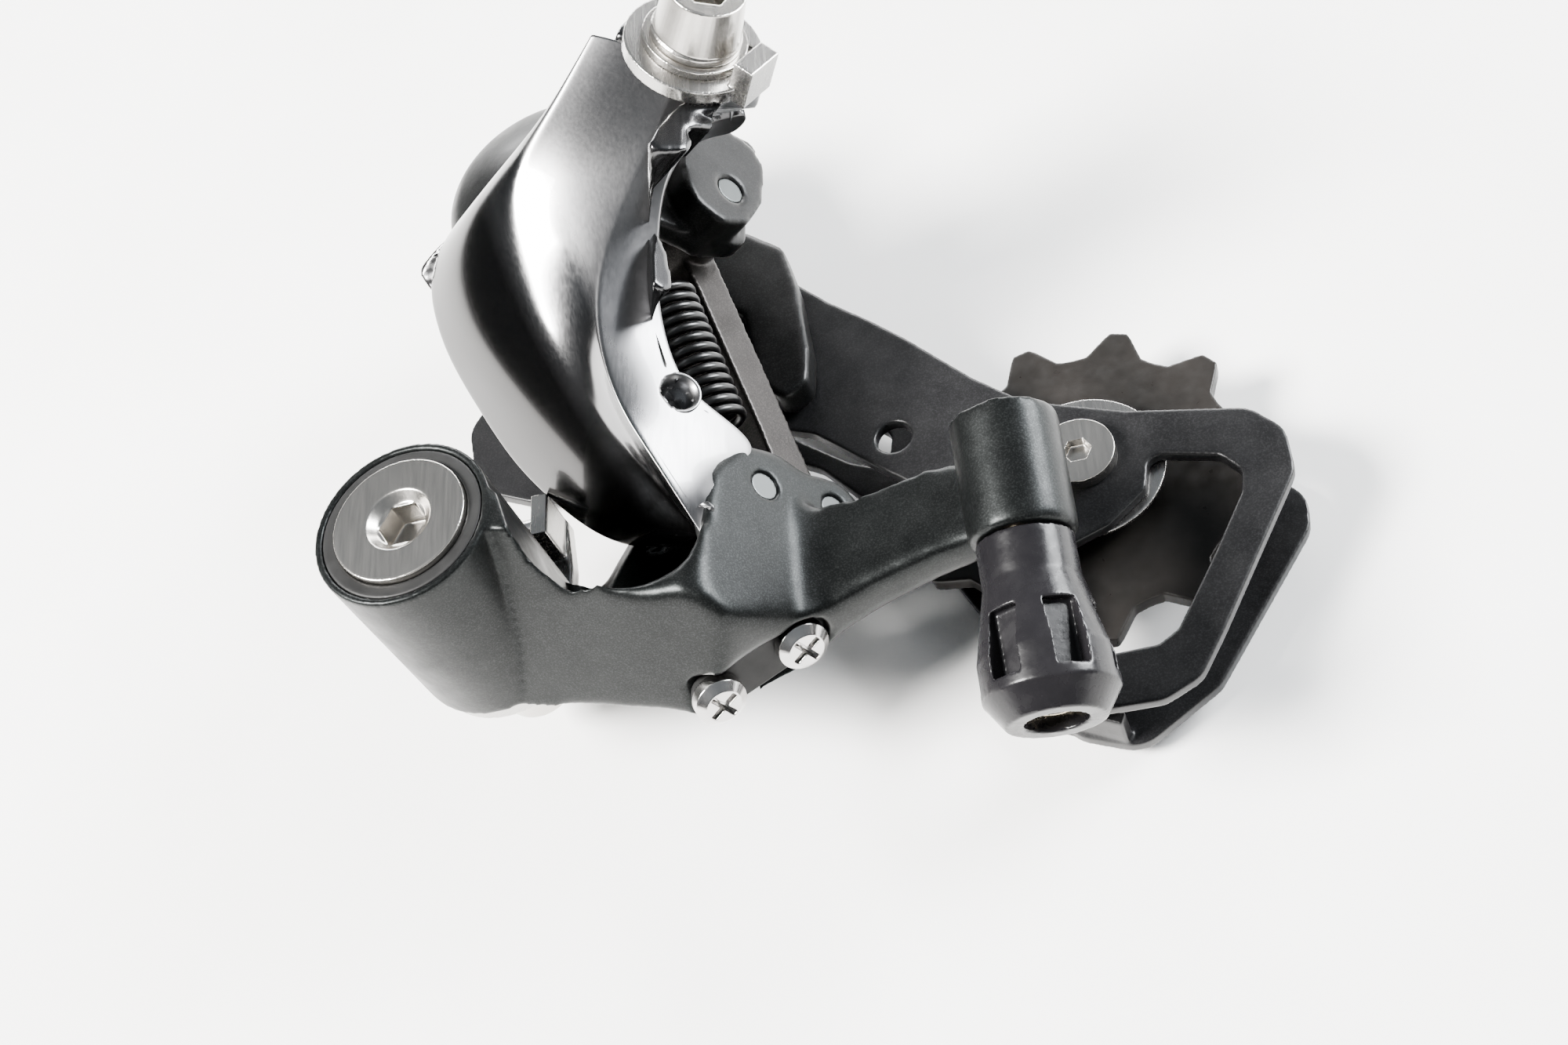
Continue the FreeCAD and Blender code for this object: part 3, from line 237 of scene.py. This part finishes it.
# ---------------------------------------------------------------- carried-over CAD nodes
def soften_item(item, material, voxel, rounds):
    """Round the edges of an object as a casting or pressing has them."""
    item.data.materials.clear()
    item.data.materials.append(material)
    weld = item.modifiers.new("weld", "WELD")
    weld.merge_threshold = 0.000002
    remesh = item.modifiers.new("remesh", "REMESH")
    remesh.mode = "VOXEL"
    remesh.voxel_size = voxel * MM
    remesh.use_smooth_shade = True
    smooth = item.modifiers.new("smooth", "SMOOTH")
    smooth.factor = 0.5
    smooth.iterations = rounds


SOFTENED = [
    ("inner_link", INNER, 0.25, 5),
    ("cage_outer_plate", CAGE, 0.24, 5), ("cage_inner_plate", CAGE, 0.24, 5),
    ("b_axle", STEEL, 0.14, 3), ("stop_plate", PRESSED, 0.2, 3),
    ("b_bush", BRONZE, 0.25, 2), ("b_seal", SEAL, 0.15, 3), ("b_spring", SPRING, 0.25, 2),
    ("high_limit_screw", SCREW, 0.09, 2), ("low_limit_screw", SCREW, 0.09, 2), ("limit_plate", TRIM, 0.12, 2),
    ("b_tension_screw", SCREW, 0.12, 2), ("pin_outer_b", PIN, 0.12, 3), ("pin_inner_b", PIN, 0.12, 3),
    ("pin_outer_p", PIN, 0.12, 3), ("pin_inner_p", PIN, 0.12, 3), ("clamp_plate", PRESSED, 0.12, 3),
    ("clamp_washer", STEEL, 0.12, 2), ("clamp_bolt", STEEL, 0.12, 3), ("return_spring", SPRING, 0.13, 3),
    ("p_axle", STEEL, 0.2, 2), ("p_spring", SPRING, 0.25, 2), ("cage_stop_pin", SCREW, 0.12, 2),
    ("guide_pulley", PULLEY, 0.2, 4), ("guide_bush", PRESSED, 0.2, 2), ("guide_caps", PRESSED, 0.14, 2),
    ("guide_bolt", STEEL, 0.12, 2), ("tension_pulley", PULLEY, 0.2, 4), ("tension_bush", PRESSED, 0.2, 2),
    ("tension_caps", PRESSED, 0.14, 2), ("tension_bolt", STEEL, 0.1, 2), ("barrel_knob", KNOB, 0.18, 4),
    ("barrel_liner", LINER, 0.12, 2),
]
for node, material, voxel, rounds in SOFTENED:
    soften_item(NODES[node], material, voxel, rounds)


# ---------------------------------------------------------------- castings
def settled(item):
    """Mesh of an object with its modifiers applied."""
    depsgraph = bpy.context.evaluated_depsgraph_get()
    depsgraph.update()
    return bpy.data.meshes.new_from_object(item.evaluated_get(depsgraph))


def clearance(place, keep):
    """How far a place lies outside the kept cylinders, as a weight from 0 to 1 over two millimetres."""
    best = 1.0
    for base, along, radius in keep:
        arm = place - Vector(base) * MM
        way = Vector(along).normalized()
        best = min(best, (arm - way * arm.dot(way)).length / MM / 2.0 - radius / 2.0)
    return max(0.0, best)


def casting(node, body, material, voxel, rounds, keep):
    """Softened copy of a CAD casting, blended heavily except inside the kept cylinders (mm)."""
    item = NODES[node].copy()
    item.data = NODES[node].data.copy()
    item.name = item.data.name = node + "_cast"
    scene.collection.objects.link(item)
    soften_item(item, material, voxel, 3)
    solid = settled(item)
    item.modifiers.clear()
    item.data = solid
    group = item.vertex_groups.new(name="blend")
    for vertex in solid.vertices:
        group.add([vertex.index], clearance(vertex.co, keep), "REPLACE")
    blend = item.modifiers.new("blend", "SMOOTH")
    blend.factor = 0.5
    blend.iterations = rounds
    blend.vertex_group = "blend"
    even = item.modifiers.new("even", "SMOOTH")
    even.factor = 0.5
    even.iterations = 4
    for face in solid.polygons:
        face.use_smooth = True
    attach(item, body)
    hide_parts(node)


casting("b_knuckle", "b_knuckle", KNUCKLE, 0.34, 110, [
    ((0.0, 0.0, 0.0), (0.0, 0.0, 1.0), 13.6),
    ((7.06, 6.0, -9.71), PIN_AXIS, 3.4), ((13.05, 6.5, -17.96), PIN_AXIS, 3.4),
    ((38.3, -10.6, 4.9), (0.43, -0.87, 0.24), 3.6), ((28.2, -15.6, 4.9), (0.43, -0.87, 0.24), 3.6),
    ((66.5, -8.0, 13.5), (0.0, -0.978, -0.208), 5.4)])
casting("p_knuckle", "p_knuckle", P_PAINT, 0.34, 12, [
    ((10.5, 63.5, 0.0), (0.0, 0.0, 1.0), 9.0)])


# ---------------------------------------------------------------- outer link, skin over a core
# Link space (mm): along the link from its knuckle pin, across it, and out along the pins.
# Each guide line gives places at a few of the rows that cross the link from its nose to its cable arm.
BACK_EDGE = {0: (-0.5, 5.5, 25), 1: (2, 7.5, 20), 3: (14, 8.5, 11.5), 6: (28, 11, 8.5), 9: (42.5, 12, 8),
             10: (47.5, 11.5, 9), 11: (51, 10.5, 13), 13: (51.5, 8.5, 30), 15: (53, 6, 44)}
RIDGE = {0: (-3.5, 8.5, 33.5), 4: (11.5, 11, 29.5), 8: (29.5, 14, 28), 11: (45.5, 14, 32), 13: (49.5, 12.5, 42),
         15: (54, 10, 50.5)}
CREASE = {0: (-4.5, 11, 36), 2: (4, 13, 36), 5: (15.5, 14, 35), 8: (27.5, 12, 37), 11: (38, 6.5, 43),
          13: (43, 3.5, 49), 15: (47.5, 3, 54.5)}
INNER_EDGE = {0: (-2, 10, 37.5), 1: (2, 7, 38), 2: (4, -1.5, 38), 4: (12.5, 5.5, 38), 6: (21, 5.5, 38),
              9: (32, 4, 42), 11: (38, 2.5, 46), 13: (42, -2, 50.5), 15: (41.5, -6, 53.5)}
LINK_ROW_COUNT = 16
PANEL_BULGE = 1.5
VALLEY_DEPTH = 0.6
ARM_FULLNESS = 2.2
FACE_CROWN = 0.5
HOLE = (13.0, 6.8, 37.9)


def guide_place(guide, row):
    """Place on a guide line at a row, along a cubic that passes smoothly through its points."""
    rows = list(guide)
    points = np.array([guide[r] for r in rows], dtype=float)
    slopes = np.gradient(points, rows, axis=0)
    left = min(max(np.searchsorted(rows, row, side="right") - 1, 0), len(rows) - 2)
    span = rows[left + 1] - rows[left]
    t = (row - rows[left]) / span
    return (points[left] * (1 + 2 * t) * (1 - t) ** 2 + slopes[left] * span * t * (1 - t) ** 2
            + points[left + 1] * t * t * (3 - 2 * t) - slopes[left + 1] * span * t * t * (1 - t))


def link_row(row):
    """Places across the link at one row: back edge, panel, ridge, valley, crease, flat face, inner edge."""
    back, ridge, crease, inner = (guide_place(g, row) for g in (BACK_EDGE, RIDGE, CREASE, INNER_EDGE))
    bulge = PANEL_BULGE * math.sqrt(max(0.1, math.sin(math.pi * (row + 1) / LINK_ROW_COUNT)))
    arm = min(max((row - 8) / 4, 0.0), 1.0)
    arm = arm * arm * (3 - 2 * arm)
    valley = np.array([arm, ARM_FULLNESS * arm - VALLEY_DEPTH, 0.0])
    return [back, (back + ridge) / 2 + [0, bulge, 0], ridge, (ridge + crease) / 2 + valley, crease,
            (crease + inner) / 2 + [0, 0, FACE_CROWN], inner]


LINK_ROWS = [link_row(row) for row in range(LINK_ROW_COUNT)]


def link_point(along, across, out):
    """Point in metres from a place in link space."""
    u = LINK_ROOT[0] + along * math.cos(LINK_TURN) - across * math.sin(LINK_TURN)
    v = LINK_ROOT[1] + along * math.sin(LINK_TURN) + across * math.cos(LINK_TURN)
    return Vector((PIN_AXIS[0] * out - PIN_AXIS[2] * v, u, PIN_AXIS[0] * v + PIN_AXIS[2] * out)) * MM


def link_way(across, out):
    """Unit direction square to the link's length, from its parts across and out."""
    return (link_point(0, across, out) - link_point(0, 0, 0)).normalized()


def link_skin():
    """Mesh of the polished outside of the link, creased along the ridge and the crease line."""
    work = bmesh.new()
    grid = []
    for row in LINK_ROWS:
        first, last = row[0], row[-1]
        wrapped = [first + [0, -1.9, 0.3], first + [0.1, -0.8, -0.6], *row]
        wrapped += [last + [0, -0.9, -0.6], last + [0, -1.0, -3.4]]
        grid.append([work.verts.new(link_point(*place)) for place in wrapped])
    for upper, lower in zip(grid, grid[1:]):
        for k in range(len(upper) - 1):
            work.faces.new((upper[k], upper[k + 1], lower[k + 1], lower[k]))
    layer = work.edges.layers.float.new("crease_edge")
    for upper, lower in zip(grid, grid[1:]):
        for column, sharp in ((2, 0.8), (4, 0.45), (6, 0.55), (8, 0.8)):
            work.edges.get((upper[column], lower[column]))[layer] = sharp
    bmesh.ops.recalc_face_normals(work, faces=work.faces)
    middle = work.faces[len(work.faces) // 2]
    if middle.normal.dot(link_way(1, 1)) < 0:
        bmesh.ops.reverse_faces(work, faces=work.faces)
    mesh = bpy.data.meshes.new("outer_link_skin")
    work.to_mesh(mesh)
    work.free()
    return mesh


def surface_tree(mesh):
    """Search tree over a mesh's faces."""
    return BVHTree.FromPolygons([v.co for v in mesh.vertices], [tuple(p.vertices) for p in mesh.polygons])


def tuck_under(mesh, tree, toward, gap):
    """Push the points of a mesh that stand outside a skin back under it, along one direction."""
    far = 50.0 * MM
    for vertex in mesh.vertices:
        place, _, _, away = tree.ray_cast(vertex.co + toward * far, -toward)
        if place is not None and away > far - gap:
            vertex.co = place - toward * gap


def link_place(point):
    """Place in link space (mm) of a point in metres; the inverse of link_point."""
    forward = point.y / MM - LINK_ROOT[0]
    rise = (PIN_AXIS[0] * point.z - PIN_AXIS[2] * point.x) / MM - LINK_ROOT[1]
    return (forward * math.cos(LINK_TURN) + rise * math.sin(LINK_TURN),
            rise * math.cos(LINK_TURN) - forward * math.sin(LINK_TURN),
            (PIN_AXIS[0] * point.x + PIN_AXIS[2] * point.z) / MM)


def trim_core(mesh):
    """Keep the core inside the skin's inner edge and clear of the blind hole."""
    edge = [row[-1] for row in LINK_ROWS[1:13]]
    for vertex in mesh.vertices:
        along, across, out = link_place(vertex.co)
        if 2.0 < along < 40.0:
            limit = np.interp(along, [e[0] for e in edge], [e[1] for e in edge])
            level = np.interp(along, [e[0] for e in edge], [e[2] for e in edge])
            if out > level - 7.0 and across < limit + 1.2:
                across = limit + 1.2
        if math.hypot(along - HOLE[0], across - HOLE[1]) < 3.0:
            out = min(out, HOLE[2] - 2.6)
        vertex.co = link_point(along, across, out)


def lathe(name, profile, base, along, material, segments=48):
    """Turned mesh object from radius and height pairs (mm) about an axis."""
    work = bmesh.new()
    way = Vector(along).normalized()
    side = way.orthogonal().normalized()
    other = way.cross(side)
    angles = [2.0 * math.pi * k / segments for k in range(segments)]
    spokes = [side * math.cos(a) + other * math.sin(a) for a in angles]
    rings = []
    for radius, height in profile:
        rings.append([work.verts.new(base + (way * height + spoke * radius) * MM) for spoke in spokes])
    for lower, upper in zip(rings, rings[1:] + rings[:1]):
        for k in range(segments):
            n = (k + 1) % segments
            work.faces.new((lower[k], lower[n], upper[n], upper[k]))
    bmesh.ops.recalc_face_normals(work, faces=work.faces)
    mesh = bpy.data.meshes.new(name)
    work.to_mesh(mesh)
    work.free()
    mesh.materials.append(material)
    for face in mesh.polygons:
        face.use_smooth = True
    item = bpy.data.objects.new(name, mesh)
    scene.collection.objects.link(item)
    return item


def open_hole(mesh, base, way, radius):
    """Delete the faces of a mesh round a place on it."""
    work = bmesh.new()
    work.from_mesh(mesh)
    inside = []
    for face in work.faces:
        arm = face.calc_center_median() - base
        if (arm - way * arm.dot(way)).length < radius * MM and arm.length < 4.0 * MM:
            inside.append(face)
    bmesh.ops.delete(work, geom=inside, context="FACES")
    work.to_mesh(mesh)
    work.free()


def make_outer_link():
    """Polished skin of the outer link, the cast body under it and the blind hole in its face."""
    mesh = link_skin()
    skin = bpy.data.objects.new("outer_link_skin", mesh)
    scene.collection.objects.link(skin)
    skin.modifiers.new("rounded", "SUBSURF").levels = 4
    skin.modifiers["rounded"].render_levels = 4
    core = NODES["outer_link"].copy()
    core.data = NODES["outer_link"].data.copy()
    core.name = core.data.name = "outer_link_core"
    scene.collection.objects.link(core)
    soften_item(core, LINK_CORE, 0.3, 6)
    flat = settled(skin)
    solid = settled(core)
    core.modifiers.clear()
    core.data = solid
    tree = surface_tree(flat)
    for toward in (link_way(1.0, 1.0), link_way(0.75, -0.65)):
        tuck_under(solid, tree, toward, 0.5 * MM)
    trim_core(solid)
    even = core.modifiers.new("even", "SMOOTH")
    even.iterations = 9
    facing = link_way(0.34, 0.94)
    base = tree.ray_cast(link_point(*HOLE) + facing * 0.02, -facing)[0]
    open_hole(flat, base, facing, 2.35)
    skin.modifiers.clear()
    skin.data = flat
    flat.materials.clear()
    flat.materials.append(LINK)
    thick = skin.modifiers.new("thick", "SOLIDIFY")
    thick.thickness = 0.9 * MM
    thick.offset = -1.0
    cup = lathe("outer_link_hole", [(0.01, -2.3), (1.3, -2.2), (1.9, -1.3), (2.25, -0.1), (2.6, 0.04),
                                    (2.7, -0.1), (2.5, -2.6), (0.01, -2.7)], base, facing, LINK)
    for face in flat.polygons:
        face.use_smooth = True
    for item in (skin, core, cup):
        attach(item, "outer_link")
    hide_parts("outer_link")


make_outer_link()


# ---------------------------------------------------------------- floor, light, camera
def make_floor():
    """Plain pale floor under the lowest point."""
    mesh = bpy.data.meshes.new("floor")
    grid = bmesh.new()
    bmesh.ops.create_grid(grid, x_segments=8, y_segments=8, size=3.0)
    grid.to_mesh(mesh)
    grid.free()
    item = bpy.data.objects.new("floor", mesh)
    item.location = (0, 0, CAD_LOW.z - 0.0004)
    scene.collection.objects.link(item)
    made, tree, main, coords = shader("floor_pale")
    cloud = spread(tree, noise(tree, coords, 14.0, 6.0), 0.0, 1.0, 0.3, 0.7)
    tree.links.new(tint(tree, cloud, (0.88, 0.87, 0.855), (0.95, 0.945, 0.935)), main.inputs["Base Color"])
    main.inputs["Roughness"].default_value = 0.6
    bump(tree, main, [(noise(tree, coords, 300.0, 4.0), 0.15, 0.0002)])
    mesh.materials.append(made)


def area(name, place, aim, width, height, power, colour=(1, 1, 1)):
    """Soft rectangular light aimed at a point."""
    data = bpy.data.lights.new(name, "AREA")
    data.shape = "RECTANGLE"
    data.size = width
    data.size_y = height
    data.energy = power
    data.color = colour
    item = bpy.data.objects.new(name, data)
    item.location = place
    item.rotation_euler = (Vector(aim) - Vector(place)).to_track_quat("-Z", "Y").to_euler()
    scene.collection.objects.link(item)


def make_light():
    """Studio world that is bright overhead and dim at the horizon, with three soft lights."""
    world = bpy.data.worlds.new("studio")
    scene.world = world
    world.use_nodes = True
    tree = world.node_tree
    back = tree.nodes["Background"]
    coords = tree.nodes.new("ShaderNodeTexCoord")
    split = tree.nodes.new("ShaderNodeSeparateXYZ")
    ramp = tree.nodes.new("ShaderNodeValToRGB")
    tree.links.new(coords.outputs["Generated"], split.inputs["Vector"])
    tree.links.new(split.outputs["Z"], ramp.inputs["Fac"])
    ramp.color_ramp.elements[0].position = 0.0
    ramp.color_ramp.elements[0].color = (0.05, 0.055, 0.06, 1)
    ramp.color_ramp.elements[1].position = 0.95
    ramp.color_ramp.elements[1].color = (0.86, 0.93, 1.0, 1)
    tree.links.new(ramp.outputs["Color"], back.inputs["Color"])
    back.inputs["Strength"].default_value = 0.4
    middle = (0.04, 0.02, 0.0)
    area("key", (-0.56, -0.20, 0.72), middle, 0.34, 0.34, 68.0, (1.0, 0.985, 0.96))
    area("fill", (0.78, 0.36, 0.34), middle, 0.4, 0.35, 34.0, (0.95, 0.975, 1.0))
    area("rim", (0.0, 0.85, 0.25), middle, 0.9, 0.15, 14.0, (1.0, 1.0, 1.0))


def make_camera():
    """Camera above the outboard side, looking down at the mechanism."""
    data = bpy.data.cameras.new("camera")
    data.sensor_width = 36.0
    data.lens = 45.0
    data.clip_start = 0.01
    data.clip_end = 20.0
    item = bpy.data.objects.new("camera", data)
    right = Vector((0.9516, -0.0564, -0.3020)).normalized()
    back = Vector((0.2188, -0.5657, 0.7950)).normalized()
    up = back.cross(right).normalized()
    right = up.cross(back).normalized()
    turn = Matrix((right, up, back)).transposed().to_4x4()
    item.matrix_world = Matrix.Translation((0.0885, -0.1261, 0.1901)) @ turn
    scene.collection.objects.link(item)
    scene.camera = item


make_floor()
make_light()
make_camera()
